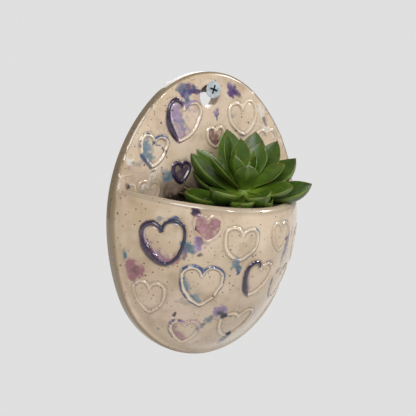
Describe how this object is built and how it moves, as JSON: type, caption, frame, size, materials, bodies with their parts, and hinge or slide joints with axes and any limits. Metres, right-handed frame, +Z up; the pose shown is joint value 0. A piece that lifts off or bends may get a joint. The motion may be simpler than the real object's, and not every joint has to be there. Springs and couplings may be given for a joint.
{
  "type": "hanging wall vase",
  "caption": "Oval glazed stoneware wall pocket with raised heart outlines, hung on one screw and planted with a small succulent.",
  "frame": {"origin": "where the screw's axis meets the wall plane", "axes": "+Y along the screw into the wall, +Z up, the vase's front looks along -Y"},
  "size_m": [0.127, 0.0928, 0.16],
  "materials": {
    "glazed_clay": "glossy",
    "zinc_steel": "satin",
    "soil": "rough",
    "leaf_flesh": "satin"
  },
  "bodies": {
    "wall_fixing": {"wall_screw": "zinc_steel"},
    "vase": {"back_slab": "glazed_clay", "pocket_wall": "glazed_clay", "potting_soil": "soil"},
    "plant": {"plant_stem": "leaf_flesh", "leaf_01": "leaf_flesh", "leaf_02": "leaf_flesh", "leaf_03": "leaf_flesh", "leaf_04": "leaf_flesh", "leaf_05": "leaf_flesh", "leaf_06": "leaf_flesh", "leaf_07": "leaf_flesh", "leaf_08": "leaf_flesh", "leaf_09": "leaf_flesh", "leaf_10": "leaf_flesh", "leaf_11": "leaf_flesh", "leaf_12": "leaf_flesh", "leaf_13": "leaf_flesh", "leaf_14": "leaf_flesh", "leaf_15": "leaf_flesh", "leaf_16": "leaf_flesh", "leaf_17": "leaf_flesh", "leaf_18": "leaf_flesh", "leaf_19": "leaf_flesh", "leaf_20": "leaf_flesh", "leaf_21": "leaf_flesh", "leaf_22": "leaf_flesh", "leaf_23": "leaf_flesh", "leaf_24": "leaf_flesh", "leaf_25": "leaf_flesh", "leaf_26": "leaf_flesh", "leaf_27": "leaf_flesh", "leaf_28": "leaf_flesh"}
  },
  "joints": [
    {"name": "vase_swing", "type": "hinge", "parent": "wall_fixing", "child": "vase", "pos_m": [0, 0, 0], "axis": [0, 1, 0], "range_deg": [-90, 90]},
    {"name": "plant_lift", "type": "slide", "parent": "vase", "child": "plant", "axis": [0, -0.0872, 0.9962], "range_m": [0, 0.1]}
  ]
}
